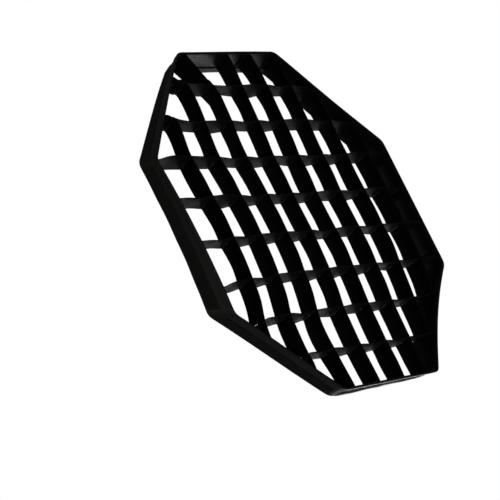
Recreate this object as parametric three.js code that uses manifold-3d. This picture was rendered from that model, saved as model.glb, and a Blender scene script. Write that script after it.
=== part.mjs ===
// An octagonal fabric egg-crate grid for a softbox. It stands upright as it is used: the open front
// faces -Y, depth runs along Y and +Z is up. The origin is the centre of the whole grid.
// Units are millimetres.
import * as THREE from "three";
import { mergeVertices } from "three/addons/utils/BufferGeometryUtils.js";
import Module from "manifold-3d";

const wasm = await Module();
wasm.setup();

// Driving dimensions
const ACROSS_FLATS = 560; // over the hook tape, flat to flat
const CELLS_ACROSS = 9; // square cells from one flat to the opposite one
const BORDER_DEPTH = 42; // front fold of the binding to the rear hem
const STRIP_DEPTH = 30;
const STRIP_THICK = 1.2; // doubled nylon
const PANEL_THICK = 1.6; // doubled nylon with a woven stiffener
const TAPE_THICK = 1.8;
const TAPE_WIDTH = 20;
const TAPE_FROM_REAR = 3;
const BINDING_THICK = 0.8;
const BINDING_WIDTH = 10;
const HEM_THICK = 0.7; // what the turned rear hem adds inside the panel
const HEM_WIDTH = 8;
const CORNER_RADIUS = 20; // the inner face of the border round each corner
const STRIP_SETBACK = 1; // strips start this far behind the front fold
const GAP = 0.3; // between pieces that touch

// Worked out from them
const SIDES = 8;
const TURN = (2 * Math.PI) / SIDES;
const PITCH = ACROSS_FLATS / CELLS_ACROSS;
const FRONT = -BORDER_DEPTH / 2;
const REAR = BORDER_DEPTH / 2;
const PANEL_OUT = ACROSS_FLATS / 2 - TAPE_THICK - GAP;
const PANEL_IN = PANEL_OUT - PANEL_THICK;
const BINDING_OUT = PANEL_OUT + GAP + BINDING_THICK;
const BINDING_IN = PANEL_IN - GAP - BINDING_THICK;
const PANEL_FRONT = FRONT + BINDING_THICK + GAP;
const CORNER_CENTRE = (PANEL_IN - CORNER_RADIUS) / Math.cos(TURN / 2); // from the grid's centre
const FLAT_LENGTH = 2 * CORNER_CENTRE * Math.sin(TURN / 2); // of each side between its corners
const STRIP_FRONT = FRONT + STRIP_SETBACK;
const STRIP_REAR = STRIP_FRONT + STRIP_DEPTH;
const STRIP_REACH = BINDING_IN - GAP; // from the centre to where a strip meets a side

const SIDE_NAMES = [
  "top",
  "top_right",
  "right",
  "bottom_right",
  "bottom",
  "bottom_left",
  "left",
  "top_left",
];

const MATERIALS = {
  border: { color: 0x141413, roughness: 0.62 },
  binding: { color: 0x1b1b1a, roughness: 0.5 },
  tape: { color: 0x0f0f0f, roughness: 0.95 },
  strip: { color: 0x0c0c0b, roughness: 0.7 },
};

const grid = new THREE.Group();
grid.name = "egg_crate_grid";

function addMesh(parent, name, geometry, look) {
  const material = new THREE.MeshStandardMaterial({ ...MATERIALS[look], metalness: 0 });
  const mesh = new THREE.Mesh(geometry, material);
  mesh.name = name;
  parent.add(mesh);
}

// A closed polygon from [x, y] corners, listed anticlockwise.
function outline(corners) {
  return new THREE.Shape(corners.map(([x, y]) => new THREE.Vector2(x, y)));
}

// An outline drawn as (outward, depth), run along a side and centred on it. Outward becomes +Z.
function runAlongSide(section, length) {
  const solid = new THREE.ExtrudeGeometry(section, { depth: length, bevelEnabled: false });
  solid.translate(0, 0, -length / 2);
  solid.rotateY(-Math.PI / 2);
  return solid;
}

function toSolid(geometry) {
  const bare = geometry.clone();
  bare.deleteAttribute("normal");
  bare.deleteAttribute("uv");
  const merged = mergeVertices(bare);
  return new wasm.Manifold(
    new wasm.Mesh({
      numProp: 3,
      vertProperties: merged.attributes.position.array,
      triVerts: new Uint32Array(merged.index.array),
    }),
  );
}

function toGeometry(solid) {
  const mesh = solid.getMesh();
  const geometry = new THREE.BufferGeometry();
  geometry.setAttribute("position", new THREE.BufferAttribute(mesh.vertProperties, 3));
  geometry.setIndex(new THREE.BufferAttribute(mesh.triVerts, 1));
  const flat = geometry.toNonIndexed();
  flat.computeVertexNormals();
  return flat;
}

// The border's fabric along one side: a flat band with its rear edge turned inwards as a hem.
function borderPanel() {
  const hemIn = PANEL_IN - HEM_THICK;
  const section = outline([
    [PANEL_IN, PANEL_FRONT],
    [PANEL_OUT, PANEL_FRONT],
    [PANEL_OUT, REAR],
    [hemIn, REAR],
    [hemIn, REAR - HEM_WIDTH],
    [PANEL_IN, REAR - HEM_WIDTH],
  ]);
  return runAlongSide(section, FLAT_LENGTH - GAP);
}

// The tape folded over the border's front edge, with a leg inside and a leg outside.
function frontBinding() {
  const legEnd = FRONT + BINDING_WIDTH;
  const foldInside = FRONT + BINDING_THICK;
  const section = outline([
    [BINDING_IN, FRONT],
    [BINDING_OUT, FRONT],
    [BINDING_OUT, legEnd],
    [BINDING_OUT - BINDING_THICK, legEnd],
    [BINDING_OUT - BINDING_THICK, foldInside],
    [BINDING_IN + BINDING_THICK, foldInside],
    [BINDING_IN + BINDING_THICK, legEnd],
    [BINDING_IN, legEnd],
  ]);
  return runAlongSide(section, FLAT_LENGTH - GAP);
}

// The hook tape sewn to the outside of a side, near its rear edge.
function hookTape() {
  const tape = new THREE.BoxGeometry(FLAT_LENGTH - GAP, TAPE_WIDTH, TAPE_THICK);
  const middle = REAR - TAPE_FROM_REAR - TAPE_WIDTH / 2;
  return tape.translate(0, middle, ACROSS_FLATS / 2 - TAPE_THICK / 2);
}

// Part of a ring round a corner's centre, between two distances from the grid's centre as measured on
// the flats, and between two depths.
function cornerRing(from, to, front, rear) {
  const inner = from - PANEL_IN + CORNER_RADIUS;
  const outer = to - PANEL_IN + CORNER_RADIUS;
  const start = Math.PI / 2 - TURN / 2;
  const ring = new THREE.Shape();
  ring.absarc(0, 0, outer, start, start + TURN, false);
  ring.absarc(0, 0, inner, start + TURN, start, true);
  const solid = new THREE.ExtrudeGeometry(ring, {
    depth: rear - front,
    bevelEnabled: false,
    curveSegments: 6,
  });
  solid.rotateX(Math.PI / 2); // the arc's middle turns from +Y to +Z
  solid.translate(0, rear, CORNER_CENTRE);
  return toSolid(solid);
}

// The short bent length of border, bound and hemmed, that joins two sides.
function cornerFold() {
  const band = cornerRing(PANEL_IN, PANEL_OUT, FRONT, REAR);
  const bound = cornerRing(BINDING_IN, BINDING_OUT, FRONT, FRONT + BINDING_WIDTH);
  const hem = cornerRing(PANEL_IN - HEM_THICK, PANEL_OUT, REAR - HEM_WIDTH, REAR);
  return toGeometry(band.add(bound).add(hem));
}

// How far a strip runs each way from its middle when it stands this far from the grid's centre line.
function halfLength(offset) {
  const toSlope = STRIP_REACH * Math.SQRT2 - Math.abs(offset) - STRIP_THICK;
  return Math.min(STRIP_REACH, toSlope);
}

// The places of the strips of one direction, from one flat to the opposite one.
function stripOffsets() {
  const count = CELLS_ACROSS - 1;
  return Array.from({ length: count }, (_, i) => (i - (count - 1) / 2) * PITCH);
}

// A strip's outline as (along, depth), notched halfway through wherever it crosses another strip.
function stripOutline(offset, notchedAtFront) {
  const half = halfLength(offset);
  const notchHalf = STRIP_THICK / 2 + GAP;
  const middle = (STRIP_FRONT + STRIP_REAR) / 2;
  const notchEnd = middle + (notchedAtFront ? GAP / 2 : -GAP / 2);
  const crossings = stripOffsets().filter((other) => halfLength(other) > Math.abs(offset));
  const notched = crossings.flatMap((at) => [
    [at - notchHalf, null],
    [at - notchHalf, notchEnd],
    [at + notchHalf, notchEnd],
    [at + notchHalf, null],
  ]);
  const frontEdge = notchedAtFront ? notched : [];
  const rearEdge = notchedAtFront ? [] : notched.reverse();
  return outline([
    [-half, STRIP_FRONT],
    ...frontEdge.map(([along, depth]) => [along, depth ?? STRIP_FRONT]),
    [half, STRIP_FRONT],
    [half, STRIP_REAR],
    ...rearEdge.map(([along, depth]) => [along, depth ?? STRIP_REAR]),
    [-half, STRIP_REAR],
  ]);
}

function strip(offset, notchedAtFront) {
  const shape = stripOutline(offset, notchedAtFront);
  const solid = new THREE.ExtrudeGeometry(shape, { depth: STRIP_THICK, bevelEnabled: false });
  return solid.translate(0, 0, -STRIP_THICK / 2);
}

// The eight sides and the eight corners between them, clockwise from the top as seen from the front.
SIDE_NAMES.forEach((name, i) => {
  const next = SIDE_NAMES[(i + 1) % SIDES];
  const side = new THREE.Group();
  side.rotation.y = i * TURN;
  addMesh(side, `border_panel_${name}`, borderPanel(), "border");
  addMesh(side, `front_binding_${name}`, frontBinding(), "binding");
  addMesh(side, `hook_tape_${name}`, hookTape(), "tape");
  const corner = new THREE.Group();
  corner.rotation.y = (i + 0.5) * TURN;
  addMesh(corner, `corner_fold_${name}_to_${next}`, cornerFold(), "border");
  grid.add(side, corner);
});

// The strips: upright ones numbered from the left, level ones numbered from the top.
stripOffsets().forEach((offset, i) => {
  const upright = new THREE.Group();
  upright.position.x = offset;
  upright.rotation.y = -Math.PI / 2;
  addMesh(upright, `upright_strip_${i + 1}`, strip(offset, false), "strip");
  const level = new THREE.Group();
  level.position.z = -offset;
  addMesh(level, `level_strip_${i + 1}`, strip(offset, true), "strip");
  grid.add(upright, level);
});

export default grid;
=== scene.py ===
# %% [markdown]
# # A fabric egg-crate grid for an octagonal softbox
# A softbox spills light sideways. This grid stops that: sixteen black strips cross in a shallow border of
# the same cloth, and only light that goes nearly straight ahead gets through the square cells. Nothing in
# it is stiff, so it hangs in soft waves, and it folds up like a curtain.
#
# The lesson cuts every piece flat, at its real size, then folds, turns and hangs it, as a sewing room would.
#
# ## The frame
# The imported CAD model says where everything is. It is loaded first and never changed. The cloth pieces made
# here take their places from its boxes.

# %% Load the frame
import math
import random

import bpy
import numpy as np
from mathutils import Matrix, Vector


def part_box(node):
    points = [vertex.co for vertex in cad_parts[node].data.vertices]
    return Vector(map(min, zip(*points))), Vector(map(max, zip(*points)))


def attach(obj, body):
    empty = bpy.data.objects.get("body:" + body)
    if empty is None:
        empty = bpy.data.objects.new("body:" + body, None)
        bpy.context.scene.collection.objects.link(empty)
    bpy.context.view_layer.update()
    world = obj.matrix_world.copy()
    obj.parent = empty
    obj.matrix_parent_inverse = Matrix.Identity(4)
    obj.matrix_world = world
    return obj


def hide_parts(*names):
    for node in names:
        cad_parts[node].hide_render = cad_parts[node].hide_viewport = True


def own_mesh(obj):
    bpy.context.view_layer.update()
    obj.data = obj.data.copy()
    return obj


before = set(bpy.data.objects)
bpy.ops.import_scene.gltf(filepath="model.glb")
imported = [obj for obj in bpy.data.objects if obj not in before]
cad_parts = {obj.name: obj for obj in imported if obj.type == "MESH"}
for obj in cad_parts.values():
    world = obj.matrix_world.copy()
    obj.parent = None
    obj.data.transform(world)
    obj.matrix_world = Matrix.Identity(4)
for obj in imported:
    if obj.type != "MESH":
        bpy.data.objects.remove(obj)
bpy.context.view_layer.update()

bpy.ops.object.select_all(action="DESELECT")

# %% [markdown]
# ## The camera
# The grid is seen from its left, from a little below, and the camera leans, so that the grid seems to float
# at an angle in front of its softbox. A long lens keeps the strips nearly parallel.

# %% Camera
CAMERA_AT = Vector((-2.457, -1.616, -0.753))
LOOKS_ALONG = Vector((0.7925, 0.5584, 0.2451))
CAMERA_UP = Vector((0.0568, -0.4678, 0.8820))
LENS = 146.6  # mm, on a 36 mm sensor

right = LOOKS_ALONG.cross(CAMERA_UP).normalized()
up = right.cross(LOOKS_ALONG).normalized()
turn = Matrix((right, up, -LOOKS_ALONG.normalized())).transposed()
bpy.ops.object.camera_add(location=CAMERA_AT, rotation=turn.to_euler())
camera = bpy.context.object
camera.name = "camera"
camera.data.lens = LENS
camera.data.sensor_width = 36
bpy.context.scene.camera = camera
print("camera", round(CAMERA_AT.length, 2), "m from the grid's middle")

# %% [markdown]
# ## Light, air and floor
# Black nylon shows its shape only by soft light that grazes it. One big panel stands to the left, a little
# behind the grid, and lights the left wall of the border, while the strips shade each other from it. A low
# one far to the right, behind the grid, glances off the undersides of the level strips and gives them their
# sheen. Two weak ones, low in front and overhead, keep the rest from going quite black. The surroundings are
# white where they are seen, and dim where they would light the cloth, as in a studio whose lamps are flagged
# off the background.

# %% Lights, world and floor
def soft_light(name, at, size, watts):
    """A square soft light that faces the grid's middle."""
    facing = (-Vector(at)).to_track_quat("-Z", "Y").to_euler()
    bpy.ops.object.light_add(type="AREA", location=at, rotation=facing)
    light = bpy.context.object
    light.name = name
    light.data.size = size
    light.data.energy = watts


soft_light("left_panel", (-2.7, 0.3, 0.1), 1.2, 18)
soft_light("low_front_panel", (-0.5, -2.2, -0.8), 1.0, 3)
soft_light("low_far_panel", (1.9, 1.34, -0.6), 1.0, 14)
soft_light("top_panel", (0.8, -0.6, 2.4), 1.6, 3)

AMBIENT = 0.04  # how bright the surroundings are for the cloth
world = bpy.data.worlds.new("white_studio")
bpy.context.scene.world = world
world.use_nodes = True
world_tree = world.node_tree
world_tree.nodes.clear()
seen = world_tree.nodes.new("ShaderNodeBackground")
dim = world_tree.nodes.new("ShaderNodeBackground")
dim.inputs["Strength"].default_value = AMBIENT
seen.inputs["Color"].default_value = (1, 1, 1, 1)
dim.inputs["Color"].default_value = (1, 1, 1, 1)
ray = world_tree.nodes.new("ShaderNodeLightPath")
either = world_tree.nodes.new("ShaderNodeMixShader")
out = world_tree.nodes.new("ShaderNodeOutputWorld")
world_tree.links.new(ray.outputs["Is Camera Ray"], either.inputs[0])
world_tree.links.new(dim.outputs[0], either.inputs[1])
world_tree.links.new(seen.outputs[0], either.inputs[2])
world_tree.links.new(either.outputs[0], out.inputs["Surface"])

FLOOR_AT = -1.5  # low enough that no light panel cuts through it
bpy.ops.mesh.primitive_plane_add(size=14, location=(0, 0, FLOOR_AT))
floor = bpy.context.object
floor.name = "floor"
bpy.context.scene.view_settings.view_transform = "Standard"

# %% [markdown]
# ## One helper for materials
# Every finish is a tree of nodes. One function adds a node, sets it and links it, and one turns the colour
# that a maker would name in hex into the linear colour that the shader wants.

# %% Colour and node helpers
def linear(hexa):
    """An sRGB hex colour as the shader's linear colour."""
    parts = [int(hexa[i : i + 2], 16) / 255 for i in (1, 3, 5)]
    return (*[p / 12.92 if p <= 0.04045 else ((p + 0.055) / 1.055) ** 2.4 for p in parts], 1.0)


def add(tree, kind, settings=None, **inputs):
    """Adds a node, sets its properties, and sets or links its inputs. A link is given as a socket."""
    made = tree.nodes.new("ShaderNode" + kind)
    for name, value in (settings or {}).items():
        setattr(made, name, value)
    for name, value in inputs.items():
        socket = made.inputs[int(name[1:]) if name[1:].isdigit() else name.replace("_", " ")]
        if isinstance(value, bpy.types.NodeSocket):
            tree.links.new(value, socket)
        else:
            socket.default_value = value
    return made


def blank(name):
    """A material with an empty tree."""
    made = bpy.data.materials.new(name)
    made.use_nodes = True
    made.node_tree.nodes.clear()
    return made


MM = 0.001
BAND_PERIOD = 2 * math.pi / 20  # of a Wave texture at scale 1
GREY_FOLD = "#2a2a28"  # black nylon that has rubbed

# %% [markdown]
# ## Black nylon cloth
# The strips and the border are plain-weave nylon with a polyurethane coating. Its yarns are about 0.4 mm
# apart. The weave is drawn at 1.3 mm so that it shows. The cloth is dyed deep black, so what the eye reads
# is the sheen on the yarns, a faint slubby unevenness, and folds that have rubbed a little grey.
# The pattern follows the cloth's own UV map, which is in metres of flat cloth, so it turns every corner
# with the fabric. The attribute "rubbed" is 1 on a folded edge and 0 on the flat. The border's cloth is the
# same, but smoother, and its tones are lighter: the strips' darker tones are painted shade, for the shade
# that the deep cells cast on the strips. The binding and the hook tape's ground are denser weaves, drawn at
# about a millimetre, and the binding has ribs across it.

# %% Woven cloth material
def woven(name, base_tone, rubbed, yarn, rough, shine, ribbed=False):
    """Plain-weave cloth, or tape with ribs across it."""
    made = blank(name)
    tree = made.node_tree
    flat = add(tree, "TexCoord").outputs["UV"]
    wavy = add(tree, "TexNoise", Vector=flat, Scale=260, Detail=1)
    bent = add(tree, "MixRGB", {"blend_type": "LINEAR_LIGHT"}, _0=0.0006, _1=flat, _2=wavy.outputs["Color"])
    along = add(tree, "TexWave", {"bands_direction": "X"}, Vector=bent.outputs[0],
                Scale=BAND_PERIOD / yarn)
    across = add(tree, "TexWave", {"bands_direction": "Y"}, Vector=bent.outputs[0],
                 Scale=BAND_PERIOD / (yarn * (2.2 if ribbed else 1)))
    yarns = add(tree, "Math", {"operation": "MULTIPLY" if ribbed else "MAXIMUM"},
                _0=along.outputs["Fac"], _1=across.outputs["Fac"])
    slub = add(tree, "TexNoise", Vector=flat, Scale=90, Detail=5, Roughness=0.7)
    worn = add(tree, "Attribute", {"attribute_name": "rubbed"})
    patchy = add(tree, "Math", {"operation": "MULTIPLY"}, _0=worn.outputs["Fac"], _1=slub.outputs["Fac"])
    slub_tone = add(tree, "MixRGB", _0=slub.outputs["Fac"], _1=linear(base_tone), _2=linear(rubbed))
    tone = add(tree, "MixRGB", _0=patchy.outputs[0], _1=slub_tone.outputs[0], _2=linear(GREY_FOLD))
    valley = add(tree, "MapRange", Value=yarns.outputs[0])
    valley.inputs["To Min"].default_value = 0.55
    shaded = add(tree, "MixRGB", {"blend_type": "MULTIPLY"}, _0=1.0, _1=tone.outputs[0],
                 _2=valley.outputs[0])
    bump = add(tree, "Bump", Strength=0.35, Distance=0.25 * MM, Height=yarns.outputs[0])
    soft = add(tree, "Bump", Strength=0.5, Distance=0.5 * MM, Height=slub.outputs["Fac"],
               Normal=bump.outputs[0])
    gloss = add(tree, "MapRange", Value=slub.outputs["Fac"])
    gloss.inputs["To Min"].default_value = rough - 0.08
    gloss.inputs["To Max"].default_value = rough + 0.08
    skin = add(tree, "BsdfPrincipled", Base_Color=shaded.outputs[0], Roughness=gloss.outputs[0],
               Normal=soft.outputs[0])
    skin.inputs["Specular IOR Level"].default_value = shine
    skin.inputs["Sheen Weight"].default_value = 0.04
    skin.inputs["Sheen Roughness"].default_value = 0.5
    add(tree, "OutputMaterial", Surface=skin.outputs[0])
    return made


# The strips' two tones are darker than the border's, though it is the same cloth: painted shade, for the
# shade that the deep cells cast on them.
strip_cloth = woven("coated_nylon_strip_cloth", "#0e0e0d", "#161614", 1.3 * MM, 0.68, 0.03)
border_cloth = woven("coated_nylon_border_cloth", "#141413", "#1a1a18", 1.3 * MM, 0.55, 0.16)
binding_weave = woven("woven_nylon_binding", "#151514", "#1f1f1e", 1.0 * MM, 0.52, 0.14, ribbed=True)
tape_weave = woven("hook_tape_ground_weave", "#131312", "#1a1a18", 0.9 * MM, 0.8, 0.08)
print("cloths", strip_cloth.name, border_cloth.name, binding_weave.name, tape_weave.name)

# %% [markdown]
# ## Thread, hooks and floor
# The sewing thread is bonded nylon: black, round and a little shiny, with a ply twist about every
# millimetre. The hooks on the tape are single stiff nylon filaments, smoother than anything woven. The
# floor is a matt painted board. Like the air, it is bright where it is seen and dim for the cloth.

# %% Thread, hook and floor materials
def twisted(name, base_tone, lit, rough, shine, twist):
    """A filament or thread, shaded by the twist of its plies."""
    made = blank(name)
    tree = made.node_tree
    place = add(tree, "TexCoord").outputs["Object"]
    plies = add(tree, "TexWave", {"bands_direction": "DIAGONAL"}, Vector=place, Scale=BAND_PERIOD / twist)
    tone = add(tree, "MixRGB", _0=plies.outputs["Fac"], _1=linear(base_tone), _2=linear(lit))
    bump = add(tree, "Bump", Strength=0.3, Distance=0.05 * MM, Height=plies.outputs["Fac"])
    skin = add(tree, "BsdfPrincipled", Base_Color=tone.outputs[0], Roughness=rough, Normal=bump.outputs[0])
    skin.inputs["Specular IOR Level"].default_value = shine
    add(tree, "OutputMaterial", Surface=skin.outputs[0])
    return made


thread = twisted("bonded_nylon_thread", "#161615", "#262625", 0.45, 0.25, 0.9 * MM)
filament = twisted("nylon_hook_filament", "#121211", "#1d1d1c", 0.5, 0.15, 2.0 * MM)

FLOOR_GLOW = 0.6  # added where the floor is seen, so that it looks pale
floor_paint = blank("matt_painted_board")
tree = floor_paint.node_tree
grain = add(tree, "TexNoise", Vector=add(tree, "TexCoord").outputs["Object"], Scale=40, Detail=6)
tone = add(tree, "MixRGB", _0=grain.outputs["Fac"], _1=linear("#ecebe8"), _2=linear("#f4f3f0"))
bump = add(tree, "Bump", Strength=0.05, Distance=MM, Height=grain.outputs["Fac"])
is_seen = add(tree, "LightPath").outputs["Is Camera Ray"]
seen = add(tree, "Math", {"operation": "MULTIPLY"}, _0=is_seen, _1=FLOOR_GLOW)
paint = add(tree, "BsdfPrincipled", Base_Color=tone.outputs[0], Roughness=0.85, Normal=bump.outputs[0],
            Emission_Color=tone.outputs[0], Emission_Strength=seen.outputs[0])
add(tree, "OutputMaterial", Surface=paint.outputs[0])
floor.data.materials.append(floor_paint)

# %% [markdown]
# ## What the frame says about places
# Each side of the octagon is the top one turned about the grid's axis, so the top side's boxes are all that
# is needed. The corners start where the panels end. Their centres lie on the ray halfway between two sides.

# %% Places from the frame
SIDES = ["top", "top_right", "right", "bottom_right", "bottom", "bottom_left", "left", "top_left"]
EIGHTH = math.radians(45)
HALF_CORNER = math.tan(EIGHTH / 2)

panel_low, panel_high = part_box("border_panel_top")
binding_low, binding_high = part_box("front_binding_top")
tape_low, tape_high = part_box("hook_tape_top")
strip_low, strip_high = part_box("upright_strip_4")

HALF_SIDE = panel_high.x
BORDER_OUT = panel_high.z
FRONT, REAR = binding_low.y, panel_high.y
BORDER_DEPTH = REAR - FRONT
STRIP_FRONT, STRIP_REAR = strip_low.y, strip_high.y
STRIP_DEPTH = STRIP_REAR - STRIP_FRONT
STRIP_THICK = strip_high.x - strip_low.x
REACH = strip_high.z
ARC_CENTRE = HALF_SIDE / HALF_CORNER
UPRIGHT_AT = [sum(corner.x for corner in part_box(f"upright_strip_{i}")) / 2 for i in range(1, 9)]
LEVEL_AT = [sum(corner.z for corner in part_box(f"level_strip_{i}")) / 2 for i in range(1, 9)]
CELL = UPRIGHT_AT[1] - UPRIGHT_AT[0]
print("cell", round(CELL, 4), "border depth", round(BORDER_DEPTH, 4), "strip depth", round(STRIP_DEPTH, 4))

# %% [markdown]
# ## How the cloth hangs
# The frame is the true pattern, flat and taut. The real grid is soft. Its left corners have dropped, its
# top has swung to the left, the lower right side sags inwards, the upright strips share three slow waves,
# and the rear edge, which has no binding to hold it out, draws in towards the middle.
#
# All of that is one smooth function of place. Every piece goes through it, so whatever was sewn together
# stays together. A cloth simulation of all 60 crossings would have to hold each one, and would give less
# control over where the slack goes than these few pulls do.

# %% The slack
# How far each corner of the border has moved, in millimetres: to the right and up at its front edge, then
# to the right and up at its rear edge. A corner is named after the side before it, clockwise.
CORNER_PULL = {
    "top": (-28, 0, -20, -13),
    "top_right": (-9, 1, -18, -6),
    "right": (0, 8, -10, 11),
    "bottom_right": (8, -1, 4, 9),
    "bottom": (-5, -1, 10, 5),
    "bottom_left": (-10, -30, -13, -12),
    "left": (-28, -18, -16, -3),
    "top_left": (-35, -6, -24, -13),
}
SIDE_SAG = {"bottom_right": 7, "right": 2, "left": 9, "top_left": -2}  # millimetres inwards at mid side
BORDER_GRIP = (12, 40)  # how quickly a pull inwards, and one outwards, fades: a power of the distance out
CORNER_GRIP = 8  # how soon a strip feels the border's slide towards a corner: a power of the nearness
# Slow waves: height and spread in cells, then millimetres to the right at the left and at the right.
WAVES = [(1.6, 0.8, -9, -0.5), (-0.9, 1.1, 6.5, 6), (-3.0, 0.9, -13, -3.5)]
LIFT = [(1.5, 1.3, 2.5, 2.5), (-0.5, 1.0, 1.5, 1.5), (-3.2, 0.7, 5, 0)]  # and the same upwards
REAR_TWIST = 2.5 * MM  # at mid height, how far the strips' rear edges lie to the right of the front ones
REAR_SETTLE = 3 * MM  # and how far below them
RIGHT_DRAW = 11 * MM  # how far the last upright strip's rear edge is drawn in
FULL_GRIP_AT = REACH - 3 * MM  # from this far out, everything goes with the border
PULL_RANGE = 9 * MM  # over which a pull inwards turns into one outwards
DRAG_RANGE = 10 * MM  # over which a strip's end goes from standing still to being dragged along
DRAG_MOST = 0.9  # of the border's slide
DEPTH_WAVE = 1.5 * MM  # how far the whole grid waves forwards and back

pulls = np.array([CORNER_PULL[side] for side in SIDES]) * MM
sags = np.array([SIDE_SAG.get(side, 0) for side in SIDES]) * MM


def hills(x, height, rows):
    """A sum of soft hills over the height, whose size changes from left to right, in metres."""
    on_left = 1 / (1 + np.exp((x / CELL + 1) * 1.5))
    return sum((left * on_left + right * (1 - on_left)) * MM * np.exp(-(((height / CELL - at) / spread) ** 2))
               for at, spread, left, right in rows)


def border_pull(side, share, rear):
    """How far the border has moved, right and up, at a share of the way along a side."""
    pull = pulls[side - 1] * (1 - share)[:, None] + pulls[side] * share[:, None]
    return pull[:, :2] * (1 - rear)[:, None] + pull[:, 2:] * rear[:, None]


def lean(x, z, rear):
    """Strips lean over along the left side, and the third and fifth upright ones where they meet the top."""
    by_left_side = np.exp(-(((x / CELL + 4.5) / 1.4) ** 2) - (z / CELL / 2.1) ** 4)
    up = by_left_side * ((2 * MM + 0.08 * z) * (1 - rear) - (2 * MM - 0.02 * z) * rear)
    third = np.exp(-(((x / CELL + 1.5) / 0.5) ** 2)) * (0.42 + 0.28 * rear)
    fifth = np.exp(-(((x / CELL - 0.5) / 0.5) ** 2)) * 0.11
    above_last_crossing = np.clip(z - 3.25 * CELL, 0, None)
    return -(third + fifth) * above_last_crossing, up


def hang(points, strip=None):
    """Where points of the taut pattern go when the grid hangs slack. The border has slid round a little,
    corners and all. The strips are sewn to it where they were, so they feel that slide only at corners,
    and at the top left, where the upright ones' ends are dragged along with it."""
    x, y, z = points.T
    facing = np.round(np.arctan2(x, z) / EIGHTH)
    side = facing.astype(int) % 8
    sin, cos = np.sin(facing * EIGHTH), np.cos(facing * EIGHTH)
    outward = x * sin + z * cos
    along = x * cos - z * sin
    share = np.clip(0.5 + along / np.maximum(outward, 1e-6) / HALF_CORNER / 2, 0, 1)
    rear = np.clip((y - FRONT) / BORDER_DEPTH, 0, 1)
    pull = border_pull(side, share, rear)
    slide = pull[:, 0] * cos - pull[:, 1] * sin
    lean_right, lean_up = np.zeros(len(x)), np.zeros(len(x))
    if strip:
        lean_right, lean_up = lean(x, z, rear)
        # A strip goes in and out with the stretch of border that has slid to where the strip stands.
        border_slid = slide
        at_top_left = side == SIDES.index("top_left")
        dragged = np.clip((outward - REACH) / DRAG_RANGE + 1.2, 0, DRAG_MOST) * at_top_left
        follows = np.abs(2 * share - 1) ** CORNER_GRIP
        slide = slide * (np.maximum(follows, dragged) if strip == "upright" else follows)
        ahead = slide + lean_right * cos - lean_up * sin - border_slid
        share = np.clip(share + ahead / REACH / HALF_CORNER / 2, 0, 1)
        pull = border_pull(side, share, rear)
    out_pull = pull[:, 0] * sin + pull[:, 1] * cos - sags[side] * 4 * share * (1 - share)
    stretched = np.clip(out_pull / PULL_RANGE + 0.3, 0, 1)
    fading = BORDER_GRIP[0] + (BORDER_GRIP[1] - BORDER_GRIP[0]) * stretched**2 * (3 - 2 * stretched)
    grip = np.clip(outward / FULL_GRIP_AT, 0, 1) ** fading
    wave = hills(x, z, WAVES) + REAR_TWIST * rear * (1 + 0.4 * z / CELL)
    wave -= RIGHT_DRAW * rear * np.exp(-(((x / CELL - 3.7) / 0.8) ** 2) - (z / CELL / 3) ** 4)
    lift = hills(x, z, LIFT) - REAR_SETTLE * rear
    out_pull = out_pull - lean_right * sin - lean_up * cos  # a lean doesn't push through the border
    new_x = x + grip * (out_pull * sin + slide * cos) + (1 - grip) * wave + lean_right
    new_z = z + grip * (out_pull * cos - slide * sin) + (1 - grip) * lift + lean_up
    new_y = y + DEPTH_WAVE * np.sin(x / CELL * 1.1 + 0.6) * np.cos(z / CELL * 0.9)
    return np.stack([new_x, new_y, new_z], axis=1)


def hang_strip(kind):
    """The same, for a strip of one kind."""
    return lambda points: hang(points, kind)


print("middle of the top side moves", np.round(hang(np.array([[0.0, FRONT, BORDER_OUT]]))[0], 4))

# %% [markdown]
# ## Cutting cloth flat
# A piece of cloth starts as a grid primitive of its real size, with rows and columns of faces where it will
# bend, be stitched or be notched. Its UV map is set in metres while it is still flat. Solidify then gives
# it thickness, less along a stitch line, which pulls the layers together, and less again at the very edge,
# which rounds the fold. Only then is it folded and hung.

# %% Cut, thicken, shape
STITCHED = 0.55  # of the full thickness, along a stitch line
AT_EDGE = 0.4  # of the full thickness, at the very edge


def cut(name, columns, rows, fold_rows=(), stitch_rows=(), edge_rows=()):
    """A flat piece of cloth: columns along X and rows along Y, in metres, as lists of places."""
    bpy.ops.object.select_all(action="DESELECT")
    bpy.ops.mesh.primitive_grid_add(x_subdivisions=len(columns) - 1, y_subdivisions=len(rows) - 1, size=1)
    piece = bpy.context.object
    piece.name = name
    mesh = piece.data
    mesh.name = name
    spots = np.array([v.co[:2] for v in mesh.vertices]) + 0.5
    across = np.round(spots[:, 0] * (len(columns) - 1)).astype(int)
    down = np.round(spots[:, 1] * (len(rows) - 1)).astype(int)
    flat = np.stack([np.array(columns)[across], np.array(rows)[down], np.zeros(len(down))], axis=1)
    mesh.vertices.foreach_set("co", flat.ravel())
    at = np.array([loop.vertex_index for loop in mesh.loops])
    mesh.uv_layers[0].data.foreach_set("uv", flat[at, :2].ravel())
    rubbed = mesh.attributes.new("rubbed", "FLOAT", "POINT")
    near_fold = np.isin(down, list(edge_rows) + list(fold_rows))
    rubbed.data.foreach_set("value", near_fold.astype(np.float32))
    weight = np.ones(len(down))
    weight[np.isin(down, stitch_rows)] = STITCHED
    weight[np.isin(down, edge_rows)] = AT_EDGE
    group = piece.vertex_groups.new(name="thickness")
    for value in np.unique(weight):
        group.add([int(i) for i in np.flatnonzero(weight == value)], float(value), "REPLACE")
    return piece


def take_out(piece, unwanted):
    """Deletes the faces whose centre passes the test."""
    bpy.ops.object.mode_set(mode="EDIT")
    bpy.ops.mesh.select_all(action="DESELECT")
    bpy.ops.mesh.select_mode(type="FACE")
    bpy.ops.object.mode_set(mode="OBJECT")
    for face in piece.data.polygons:
        face.select = unwanted(face.center)
    bpy.ops.object.mode_set(mode="EDIT")
    bpy.ops.mesh.delete(type="FACE")
    bpy.ops.object.mode_set(mode="OBJECT")


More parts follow.
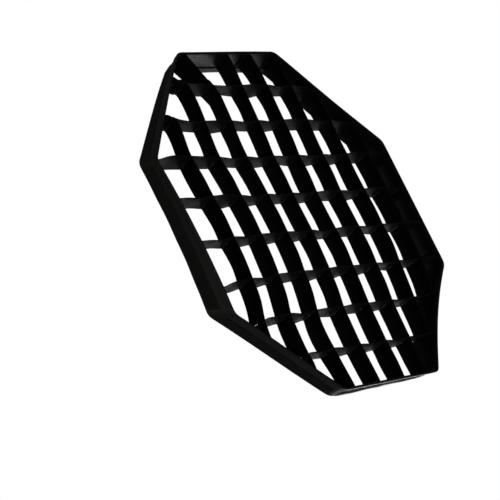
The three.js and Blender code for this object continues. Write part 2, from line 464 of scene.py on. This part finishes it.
def thicken(piece, thickness):
    """Turns the flat cloth into a closed one of that thickness, centred on the flat one."""
    solid = piece.modifiers.new("thickness", "SOLIDIFY")
    solid.thickness = thickness
    solid.offset = 0
    solid.vertex_group = "thickness"
    bpy.ops.object.modifier_apply(modifier=solid.name)


def shape(piece, *moves):
    """Puts every vertex through the given moves in turn."""
    places = np.array([v.co for v in piece.data.vertices], float).reshape(-1, 3)
    for move in moves:
        places = move(places)
    piece.data.vertices.foreach_set("co", places.astype(np.float32).ravel())
    piece.data.update()


def finish_piece(piece, material, slot, body, *nodes):
    """Smooth shading, finish, body and the CAD nodes that the piece stands for."""
    bpy.ops.object.select_all(action="DESELECT")
    piece.select_set(True)
    bpy.context.view_layer.objects.active = piece
    bpy.ops.object.shade_smooth_by_angle(angle=math.radians(50))
    piece.data.materials.clear()
    piece.data.materials.append(material)
    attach(piece, body)
    if nodes:
        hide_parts(*nodes)
    gather(piece)


# %% [markdown]
# ## Gathering
# When the grid is put away its sides slide together. The bodies are rigid, the cloth isn't. Here no piece is
# flattened towards its body's middle plane: each only gets its own copy of its mesh. Gathering wouldn't be
# exact: the left panel's box is taken hem and all, which puts its middle 0.35 mm too far in, so gathered
# upright strips would stand up to 0.19 mm further out than the cloth that they are sewn to.


def gather(piece):
    """Gives the piece its own copy of its mesh."""
    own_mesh(piece)


# %% [markdown]
# ## Small shapes, copied many times
# A stitch is one short spindle of thread whose ends dip into the cloth. It is modelled once from a
# six-sided cylinder. Seams are rows of copies, laid out on the flat cloth and sent through the same moves,
# so they lie on it however it hangs. A tack is two of them, longer, side by side, turned to face the front.
# The hook of a hook tape is modelled the same way: a filament that stands up and bends over.

# %% The stitch and the hook
STITCH_LENGTH = 3.0 * MM
STITCH_PITCH = 3.6 * MM
THREAD_THICK = 0.55 * MM
TACK_STRETCH = 1.5  # times as long as a stitch


def ring_scale(mesh_object, test, scale, centre):
    """Scales the vertices that pass the test about a centre, in edit mode."""
    bpy.ops.object.mode_set(mode="EDIT")
    bpy.ops.mesh.select_mode(type="VERT")
    bpy.ops.mesh.select_all(action="DESELECT")
    bpy.ops.object.mode_set(mode="OBJECT")
    for vertex in mesh_object.data.vertices:
        vertex.select = test(vertex.co)
    bpy.ops.object.mode_set(mode="EDIT")
    bpy.ops.transform.resize(value=scale, center_override=centre)
    bpy.ops.object.mode_set(mode="OBJECT")


def take_mesh(piece):
    """Its vertices and faces as plain lists, after which the pattern object is removed."""
    places = np.array([v.co for v in piece.data.vertices], float)
    faces = [tuple(face.vertices) for face in piece.data.polygons]
    bpy.data.objects.remove(piece)
    return places, faces


bpy.ops.mesh.primitive_cylinder_add(vertices=6, radius=THREAD_THICK / 2, depth=STITCH_LENGTH,
                                    end_fill_type="NGON", rotation=(0, math.pi / 2, 0))
stitch = bpy.context.object
bpy.ops.object.transform_apply(rotation=True)
bpy.ops.object.mode_set(mode="EDIT")
bpy.ops.mesh.select_all(action="SELECT")
bpy.ops.mesh.bisect(plane_co=(-STITCH_LENGTH / 4, 0, 0), plane_no=(1, 0, 0))
bpy.ops.mesh.select_all(action="SELECT")
bpy.ops.mesh.bisect(plane_co=(STITCH_LENGTH / 4, 0, 0), plane_no=(1, 0, 0))
bpy.ops.object.mode_set(mode="OBJECT")
END = STITCH_LENGTH / 2 - 0.1 * MM
ring_scale(stitch, lambda co: abs(co.x) > END, (1, 0.35, 0.35), (0, 0, -THREAD_THICK / 2))
STITCH = take_mesh(stitch)

bar_places, BAR_FACES = STITCH
bar_places = bar_places * (TACK_STRETCH, 1, 1)
side_by_side = [bar_places + np.array([0, way * 0.45 * THREAD_THICK, 0]) for way in (-1, 1)]
tack_places = np.concatenate(side_by_side)[:, [0, 2, 1]] * (1, -1, 1)  # turned to face the front
TACK = (tack_places, BAR_FACES + [tuple(i + len(bar_places) for i in face) for face in BAR_FACES])

bpy.ops.mesh.primitive_cylinder_add(vertices=5, radius=0.22 * MM, depth=0.8 * MM, end_fill_type="NGON",
                                    location=(0, 0, 0.4 * MM))
hook = bpy.context.object
bpy.ops.object.transform_apply(location=True)
bpy.ops.object.mode_set(mode="EDIT")
bpy.ops.mesh.select_mode(type="FACE")
bpy.ops.mesh.select_all(action="DESELECT")
bpy.ops.object.mode_set(mode="OBJECT")
for face in hook.data.polygons:
    face.select = face.normal.z > 0.9
bpy.ops.object.mode_set(mode="EDIT")
for lift, sideways, thinner in ((0.45, 0.15, 0.95), (0.2, 0.45, 0.9), (-0.3, 0.35, 0.6)):
    bpy.ops.mesh.extrude_region_move(TRANSFORM_OT_translate={"value": (sideways * MM, 0, lift * MM)})
    bpy.ops.transform.resize(value=(thinner,) * 3)
bpy.ops.object.mode_set(mode="OBJECT")
HOOK = take_mesh(hook)
print("faces in a stitch", len(STITCH[1]), "in a tack", len(TACK[1]), "in a hook", len(HOOK[1]))


def sow(name, pattern, spots):
    """One object of many copies. A spot is (x, y, z, turn about the cloth's normal, upside down)."""
    places, faces = pattern
    all_places, all_faces = [], []
    for x, y, z, turned, under in spots:
        c, s = math.cos(turned), math.sin(turned)
        flip = -1 if under else 1
        base = len(all_faces) // len(faces) * len(places)
        across = places[:, 1] * flip
        all_places.append(np.stack([places[:, 0] * c - across * s + x,
                                    places[:, 0] * s + across * c + y,
                                    places[:, 2] * flip + z], axis=1))
        all_faces += [tuple(i + base for i in face) for face in faces]
    mesh = bpy.data.meshes.new(name)
    mesh.from_pydata(np.concatenate(all_places).tolist(), [], all_faces)
    made = bpy.data.objects.new(name, mesh)
    bpy.context.scene.collection.objects.link(made)
    return made


def seam(start, end, y, z, under=False):
    """Spots for a straight line of stitches along X, at a depth y and a height z off the cloth's middle."""
    count = max(1, int((end - start) / STITCH_PITCH))
    step = (end - start) / count
    wobble = random.Random(round(start * 1e6) + round(y * 1e6))
    return [(start + (i + 0.5) * step, y + wobble.uniform(-0.12, 0.12) * MM, z,
             wobble.uniform(-0.05, 0.05), under) for i in range(count)]


# %% [markdown]
# ## Turning a side into its place
# Border pieces are cut for the top side: X runs along it, Y is the depth and Z points outwards. The four
# sloping sides are longer and wrap round both their corners, so the band needs only eight lengths. The
# straight ones stop where the corners begin.

# %% Sides and corners
def round_corners(points):
    """Bends whatever lies past a corner's start round that corner, about the corner's own centre."""
    x, y, out = points.T
    radius = out - ARC_CENTRE
    past = np.clip(np.abs(x) - HALF_SIDE, 0, None)
    angle = np.minimum(past / (BORDER_OUT - ARC_CENTRE), EIGHTH)
    bent_x = np.sign(x) * (HALF_SIDE + radius * np.sin(angle))
    bent_out = ARC_CENTRE + radius * np.cos(angle)
    round_it = past > 0
    return np.stack([np.where(round_it, bent_x, x), y, np.where(round_it, bent_out, out)], axis=1)


def face_side(index):
    """A move that turns the top side's piece to another side."""
    angle = index * EIGHTH
    sin, cos = math.sin(angle), math.cos(angle)

    def move(points):
        x, y, z = points.T
        return np.stack([x * cos + z * sin, y, -x * sin + z * cos], axis=1)

    return move


CORNER_RUN = (BORDER_OUT - ARC_CENTRE) * EIGHTH
print("each corner takes", round(CORNER_RUN * 1000, 1), "mm of band")


def puckered(index, lines):
    """Small gathers along the stitch lines, and on the straight sides a slow bulge between the strips."""
    phase = index * 1.7  # so that no two sides gather alike
    straight = 1 - index % 2
    half = HALF_SIDE + (CORNER_RUN if index % 2 else 0)

    def move(points):
        x, y, z = points.T
        fade = 1 - np.clip(np.abs(x) / half, 0, 1) ** 8
        near = sum(np.exp(-(((y - line) / (2.2 * MM)) ** 2)) for line in lines)
        gathers = 0.16 * MM * np.sin(x * 2 * math.pi / (7.3 * MM) + phase) * np.sin(x * 310 + index)
        bulge = straight * 0.7 * MM * np.cos(x * math.pi / CELL) ** 2 * (y - FRONT) / BORDER_DEPTH
        return np.stack([x, y, z + fade * (near * gathers + bulge)], axis=1)

    return move


# %% [markdown]
# ## The border band
# The band is one width of coated nylon. Its rear edge is turned in and stitched down as a hem. The fold is
# made by sending the last 10 mm of the flat cloth round a half circle. Its front edge goes into the binding.

# %% Border band
BAND_THICK = 0.9 * MM
HEM_RADIUS = 0.75 * MM
HEM_TURN = 8 * MM
BAND_MIDDLE = BORDER_OUT - BAND_THICK / 2
HEM_ARC = math.pi * HEM_RADIUS
HEM_STITCH = REAR - 5.5 * MM


def even(start, end, step):
    """Evenly spaced places from start to end, about a step apart."""
    return list(np.linspace(start, end, max(2, int(abs(end - start) / step) + 1)))


def fold_hem(points):
    """Turns cloth that runs past the rear edge inwards and forwards again."""
    x, y, z = points.T
    fold_at = REAR - HEM_RADIUS - BAND_THICK / 2
    past = y - fold_at
    angle = np.clip(past / HEM_RADIUS, 0, math.pi)
    radius = HEM_RADIUS + z
    after = np.clip(past - HEM_ARC, 0, None)
    new_y = np.where(past > 0, fold_at + radius * np.sin(angle) - after, y)
    new_z = np.where(past > 0, -HEM_RADIUS + radius * np.cos(angle), z)
    return np.stack([x, new_y, new_z], axis=1)


def lift_to(height):
    """A move straight outwards."""
    return lambda points: points + np.array([0, 0, height])


def side_moves(index, lines=()):
    """What every border piece goes through once it lies along the top side."""
    return puckered(index, lines), round_corners, face_side(index), hang


fold_start = REAR - HEM_RADIUS - BAND_THICK / 2
hem_end = fold_start + HEM_ARC + HEM_TURN
band_rows = sorted(even(panel_low.y, HEM_STITCH - 2 * MM, 3.2 * MM)
                   + [HEM_STITCH - MM, HEM_STITCH, HEM_STITCH + MM]
                   + even(fold_start - 1.5 * MM, fold_start + HEM_ARC + 1.5 * MM, 0.5 * MM)
                   + even(hem_end - 4.5 * MM, hem_end, 1.2 * MM))
band_fold = [i for i, y in enumerate(band_rows) if fold_start - 0.1 * MM < y < fold_start + HEM_ARC]
band_stitch = [band_rows.index(HEM_STITCH)]
BODIES = {"left": "left_side", "right": "right_side"}
SEAM_LINES = (FRONT + 7.5 * MM, HEM_STITCH)

for index, side in enumerate(SIDES):
    sloping = index % 2 == 1
    half = HALF_SIDE + (CORNER_RUN if sloping else 0)
    band = cut(f"border_band_{side}", even(-half, half, 2.6 * MM), band_rows, band_fold, band_stitch)
    thicken(band, BAND_THICK)
    shape(band, fold_hem, lift_to(BAND_MIDDLE), *side_moves(index, SEAM_LINES))
    stands_for = [f"border_panel_{side}"]
    if sloping:
        before, after = SIDES[index - 1], SIDES[(index + 1) % 8]
        stands_for += [f"corner_fold_{before}_to_{side}", f"corner_fold_{side}_to_{after}"]
    body = BODIES.get(side, "cross_fabric")
    finish_piece(band, border_cloth, "border_fabric", body, *stands_for)
print("border bands", len(SIDES), "faces in the last", len(band.data.polygons))

# %% [markdown]
# ## The front binding
# A woven tape 21 mm wide is folded over the border's raw front edge and stitched through. Its fold is what
# shows as a thin bright line round the mouth. It is cut flat, sent round a half circle at the front, and
# sits outside and inside the band.

# %% Front binding
BINDING_THICK = 0.8 * MM
LEG = binding_high.y - FRONT
inner_leg = binding_low.z + BINDING_THICK / 2
outer_leg = binding_high.z - BINDING_THICK / 2
FOLD_RADIUS = (outer_leg - inner_leg) / 2
FOLD_ARC = math.pi * FOLD_RADIUS
LEG_RUN = LEG - FOLD_RADIUS - BINDING_THICK / 2
BINDING_STITCH = 2.5 * MM


def fold_over_front(points):
    """Wraps tape that lies flat, its middle at y = 0, over the border's front edge."""
    x, y, z = points.T
    radius = FOLD_RADIUS + z
    angle = np.clip(y / FOLD_RADIUS, -math.pi / 2, math.pi / 2)
    past = np.clip(np.abs(y) - FOLD_ARC / 2, 0, None)
    new_y = FRONT + FOLD_RADIUS + BINDING_THICK / 2 - radius * np.cos(angle) + past
    new_z = (outer_leg + inner_leg) / 2 + radius * np.sin(angle)
    return np.stack([x, new_y, new_z], axis=1)


reach_of_tape = FOLD_ARC / 2 + LEG_RUN
stitch_row = reach_of_tape - BINDING_STITCH
tape_rows = sorted(even(-FOLD_ARC / 2, FOLD_ARC / 2, 0.45 * MM)
                   + [s * v for s in (-1, 1) for v in
                      (reach_of_tape, reach_of_tape - 0.5 * MM, reach_of_tape - 1.4 * MM,
                       stitch_row, stitch_row - 0.9 * MM, stitch_row - 3 * MM)])
binding_stitch = [tape_rows.index(-stitch_row), tape_rows.index(stitch_row)]
binding_edge = [0, len(tape_rows) - 1]
binding_fold = [i for i, y in enumerate(tape_rows) if abs(y) < FOLD_ARC / 3]

for index, side in enumerate(SIDES):
    half = HALF_SIDE + (CORNER_RUN if index % 2 else 0)
    binding = cut(f"binding_{side}", even(-half, half, 2.2 * MM), tape_rows, binding_fold,
                  binding_stitch, binding_edge)
    thicken(binding, BINDING_THICK)
    shape(binding, fold_over_front, *side_moves(index, SEAM_LINES))
    finish_piece(binding, binding_weave, "binding_tape", BODIES.get(side, "cross_fabric"),
                 f"front_binding_{side}")
print("binding is cut", round(2000 * reach_of_tape, 1), "mm wide")

# %% [markdown]
# ## The hook tape
# A 20 mm hook tape is sewn round the outside near the rear edge. It grips a loop tape inside the softbox's
# mouth. Its ground is a dense woven tape, and its face is a field of tiny bent hooks, drawn here about twice
# their real spacing so that they can be made as shapes.

# %% Hook tape
TAPE_GROUND = 0.9 * MM
TAPE_MIDDLE = tape_low.z + TAPE_GROUND / 2
tape_front, tape_rear = tape_low.y, tape_high.y
tape_half = tape_high.x
ground_rows = [tape_front + v * MM for v in (0, 0.5, 1.6, 2.6, 5, 8, 12, 15, 17.4, 18.4, 19.5, 20)]
HOOK_PITCH = 2.4 * MM
HOOK_MARGIN = 3.4 * MM  # bare tape along both edges, where it is sewn

for index, side in enumerate(SIDES):
    ground = cut(f"tape_ground_{side}", even(-tape_half, tape_half, 3 * MM), ground_rows, (), (2, 9), (0, 11))
    thicken(ground, TAPE_GROUND)
    shape(ground, lift_to(TAPE_MIDDLE), *side_moves(index, SEAM_LINES))
    body = BODIES.get(side, "cross_fabric")
    finish_piece(ground, tape_weave, "hook_tape", body, f"hook_tape_{side}")
    scatter = random.Random(100 + index)
    spots = []
    for j, y in enumerate(even(tape_front + HOOK_MARGIN, tape_rear - HOOK_MARGIN, HOOK_PITCH)):
        for x in even(-tape_half + 2 * MM, tape_half - 2 * MM, HOOK_PITCH):
            spots.append((x + (j % 2) * HOOK_PITCH / 2 + scatter.uniform(-0.2, 0.2) * MM,
                          y + scatter.uniform(-0.2, 0.2) * MM, TAPE_MIDDLE + TAPE_GROUND / 2 - 0.1 * MM,
                          math.pi * (j % 2) + scatter.uniform(-0.4, 0.4), False))
    hooks = sow(f"tape_hooks_{side}", HOOK, [s for s in spots if abs(s[0]) < tape_half - MM])
    shape(hooks, *side_moves(index, SEAM_LINES))
    finish_piece(hooks, filament, "hook_tape", body)
print("hooks on each side", len(hooks.data.polygons) // len(HOOK[1]))

# %% [markdown]
# ## The border's stitching
# Four lines of stitches run along the border: one through the binding, seen on both faces, one through the
# hem, whose outside the hook tape hides except at the corners, and one down each edge of the hook tape.

# %% Border stitching
SINK = 0.12 * MM  # how far a stitch's middle stands off the groove that it lies in
GROOVE = STITCHED / 2  # of the full thickness, from the cloth's middle
for index, side in enumerate(SIDES):
    half = HALF_SIDE + (CORNER_RUN if index % 2 else 0) - MM
    binding_y = FRONT + LEG - BINDING_STITCH
    groove = GROOVE * BINDING_THICK
    spots = seam(-half, half, binding_y, outer_leg + groove + SINK)
    spots += seam(-half, half, binding_y, inner_leg - groove - SINK, under=True)
    spots += seam(-half, half, HEM_STITCH, BAND_MIDDLE - 2 * HEM_RADIUS - BAND_THICK / 2 - SINK, under=True)
    if index % 2:
        outside = BAND_MIDDLE + GROOVE * BAND_THICK + SINK
        spots += seam(-half, -tape_half - MM, HEM_STITCH, outside)
        spots += seam(tape_half + MM, half, HEM_STITCH, outside)
    for y in (ground_rows[2], ground_rows[9]):
        spots += seam(-tape_half, tape_half, y, TAPE_MIDDLE + GROOVE * TAPE_GROUND + SINK)
    seams = sow(f"border_stitching_{side}", STITCH, spots)
    shape(seams, *side_moves(index, SEAM_LINES))
    finish_piece(seams, thread, "binding_tape", BODIES.get(side, "cross_fabric"))
print("stitches on the last side", len(spots))

# %% [markdown]
# ## The strips
# Each strip is nylon folded double to 30 mm and stitched close to both edges. Where two strips cross, one is
# slit from the rear and the other from the front, to the middle, and they slide into each other. The ends
# are turned and sewn flat to the inside of the border: square where the strip meets a straight side, and
# through half as much where it meets a sloping one.
#
# Between crossings the cloth is a little too long, so it billows: differently along its front edge and its
# rear edge, which gives each cell wall a twist.

# %% Strip pattern
TAB = 12 * MM
TAB_RADIUS = 1.6 * MM
NOTCH_HALF = STRIP_THICK / 2 + 0.3 * MM
EDGE_STITCH = 2.6 * MM
middle = (STRIP_FRONT + STRIP_REAR) / 2
NOTCH_END = {True: middle + 0.15 * MM, False: middle - 0.15 * MM}  # slit from the front, or from the rear
from_edge = [0, 0.35, 1.1, 1.9, 2.6, 3.3, 6, 9, 12]
strip_rows = sorted([STRIP_FRONT + v * MM for v in from_edge] + [STRIP_REAR - v * MM for v in from_edge]
                    + list(NOTCH_END.values()))
TAB_PLANE = BAND_MIDDLE - BAND_THICK / 2 - 0.6 * STRIP_THICK  # against the band, under the binding


def half_length(offset):
    """From a strip's middle to the border's inside, at that distance from the grid's centre line."""
    return min(TAB_PLANE, TAB_PLANE * math.sqrt(2) - abs(offset))


def turn_tabs(offset):
    """Bends both ends flat against the border, towards the middle of the side they meet."""
    end = half_length(offset)
    angle = math.pi / 2 if end == TAB_PLANE else math.pi / 4
    start = end - TAB_RADIUS * math.tan(angle / 2)
    inward = -1 if offset > 0 else 1

    def move(points):
        along, y, aside = points.T
        past = np.clip(np.abs(along) - start, 0, None)
        bend = np.minimum(past / TAB_RADIUS, angle)
        straight = np.clip(past - TAB_RADIUS * angle, 0, None)
        radius = TAB_RADIUS - inward * aside
        new_along = start + radius * np.sin(bend) + straight * np.cos(bend)
        new_aside = inward * (TAB_RADIUS - radius * np.cos(bend) + straight * np.sin(bend))
        on_tab = past > 0
        return np.stack([np.where(on_tab, np.sign(along) * new_along, along), y,
                         np.where(on_tab, new_aside, aside)], axis=1)

    return move


FRONT_SWING = (-1.6, 2.0)  # millimetres aside, at a strip's front edge
REAR_SWING = (-2.2, 2.6)  # and at its rear edge


def billow(name, stops, bias, looseness):
    """Lets the cloth between two crossings swing out, by a different amount at its two edges. The level
    strips, which carry their own weight lying down, are the looser ones."""
    chance = random.Random(name)
    sizes = [(chance.uniform(*FRONT_SWING) + bias, chance.uniform(*REAR_SWING) + bias) for _ in stops[1:]]
    fronts, rears = np.array(sizes).T * MM * looseness
    stops = np.array(stops)

    def move(points):
        along, y, aside = points.T
        cell = np.clip(np.searchsorted(stops, along) - 1, 0, len(stops) - 2)
        t = np.clip((along - stops[cell]) / (stops[cell + 1] - stops[cell]), 0, 1)
        depth = (y - STRIP_FRONT) / STRIP_DEPTH
        swing = fronts[cell] * (1 - depth) + rears[cell] * depth
        return np.stack([along, y, aside + swing * np.sin(math.pi * t) ** 1.6], axis=1)

    return move


def stand_upright(offset):
    """Along becomes down, and aside becomes right."""
    return lambda p: np.stack([p[:, 2] + offset, p[:, 1], -p[:, 0]], axis=1)


def lie_level(offset):
    """Along becomes right, and aside becomes up."""
    return lambda p: np.stack([p[:, 0], p[:, 1], p[:, 2] + offset], axis=1)


# %% [markdown]
# A strip's columns are 3 mm apart, closer where a tab bends, with an extra pair at each crossing for the
# slit. The corners are cut off by the sloping sides, so the outer strips are shorter and cross fewer others.

# %% Where a strip's slits, ends and columns are
def crossings(offset, others):
    """The places along a strip where it meets the others."""
    return sorted(other for other in others if half_length(other) > abs(offset))


def strip_columns(end, meets):
    """Column places from one tab's tip to the other's, with the slits' sides among them."""
    slits = [at + side * NOTCH_HALF for at in meets for side in (-1, 1)]
    bends = [s * v for s in (-1, 1) for v in even(end - 2.4 * MM, end + 2.4 * MM, 0.6 * MM)]
    plain = [v for v in even(-end - TAB, end + TAB, 3 * MM)
             if min(abs(v - s) for s in slits + bends) > 1.2 * MM]
    return sorted(slits + bends + plain)


print("strip 4 crosses", len(crossings(UPRIGHT_AT[3], LEVEL_AT)), "others, strip 8",
      len(crossings(UPRIGHT_AT[7], LEVEL_AT)))


# %% [markdown]
# A slit is made by deleting the faces between its two sides, from one edge to the middle, before the cloth
# is thickened. A thin seam of stitches runs along both edges on both faces, and a short row holds each tab to
# the border. At every crossing a tack of two bars of thread closes each slit's mouth, so the strips can't
# slide apart. The cloth and its thread go through the same moves, so the thread stays on the cloth.

# %% Make a strip and its stitching
def make_strip(kind, number, offset, others, from_front, stand, body, bias, looseness):
    """One strip with its slits, tabs and stitches."""
    end = half_length(offset)
    meets = crossings(offset, others)
    columns = strip_columns(end, meets)
    name = f"{kind}_strip_cloth_{number}"
    stitched = [i for i, y in enumerate(strip_rows)
                if abs(min(y - STRIP_FRONT, STRIP_REAR - y) - EDGE_STITCH) < 0.01 * MM]
    last = len(strip_rows) - 1
    strip = cut(name, columns, strip_rows, (1, last - 1), stitched, (0, last))
    limit = NOTCH_END[from_front]

    def in_slit(centre):
        open_side = centre.y < limit if from_front else centre.y > limit
        return open_side and min(abs(centre.x - at) for at in meets) < NOTCH_HALF

    take_out(strip, in_slit)
    thicken(strip, STRIP_THICK)
    stops = [-end, *meets, end]
    moves = (turn_tabs(offset), billow(name, stops, bias, looseness), stand(offset), hang_strip(kind))
    shape(strip, *moves)
    finish_piece(strip, strip_cloth, "strip_fabric", body, f"{kind}_strip_{number}")

    spots = []
    lift = GROOVE * STRIP_THICK + SINK
    for y in (STRIP_FRONT + EDGE_STITCH, STRIP_REAR - EDGE_STITCH):
        slit_here = (y < limit) == from_front
        cuts = [-end + 3 * MM, *(meets if slit_here else []), end - 3 * MM]
        for a, b in zip(cuts, cuts[1:]):
            spots += seam(a + 2 * MM, b - 2 * MM, y, lift)
            spots += seam(a + 2 * MM, b - 2 * MM, y, -lift, under=True)
    for place in (-end - 0.6 * TAB, end + 0.6 * TAB):
        facing_in = (-1 if offset > 0 else 1) > 0
        for y in even(STRIP_FRONT + 3.5 * MM, STRIP_REAR - 3.5 * MM, STITCH_PITCH):
            spots.append((place, y, lift * (1.5 if facing_in else -1.5), math.pi / 2, not facing_in))
    edge = STRIP_FRONT if from_front else STRIP_REAR
    tacks = sow(f"{kind}_tacks_{number}", TACK, [(at, edge, 0, 0, not from_front) for at in meets])
    stitching = sow(f"{kind}_strip_stitching_{number}", STITCH, spots)
    bpy.ops.object.select_all(action="DESELECT")
    tacks.select_set(True)
    stitching.select_set(True)
    bpy.context.view_layer.objects.active = stitching
    bpy.ops.object.join()
    shape(stitching, *moves)
    finish_piece(stitching, thread, "strip_fabric", body)
    return strip


for i in range(8):
    make_strip("upright", i + 1, UPRIGHT_AT[i], LEVEL_AT, False, stand_upright, f"upright_{i + 1}",
               bias=0.5, looseness=1.0)
    last_strip = make_strip("level", i + 1, LEVEL_AT[i], UPRIGHT_AT, True, lie_level, "cross_fabric",
                            bias=-0.5, looseness=1.5)
print("strips 16, faces in the last", len(last_strip.data.polygons))
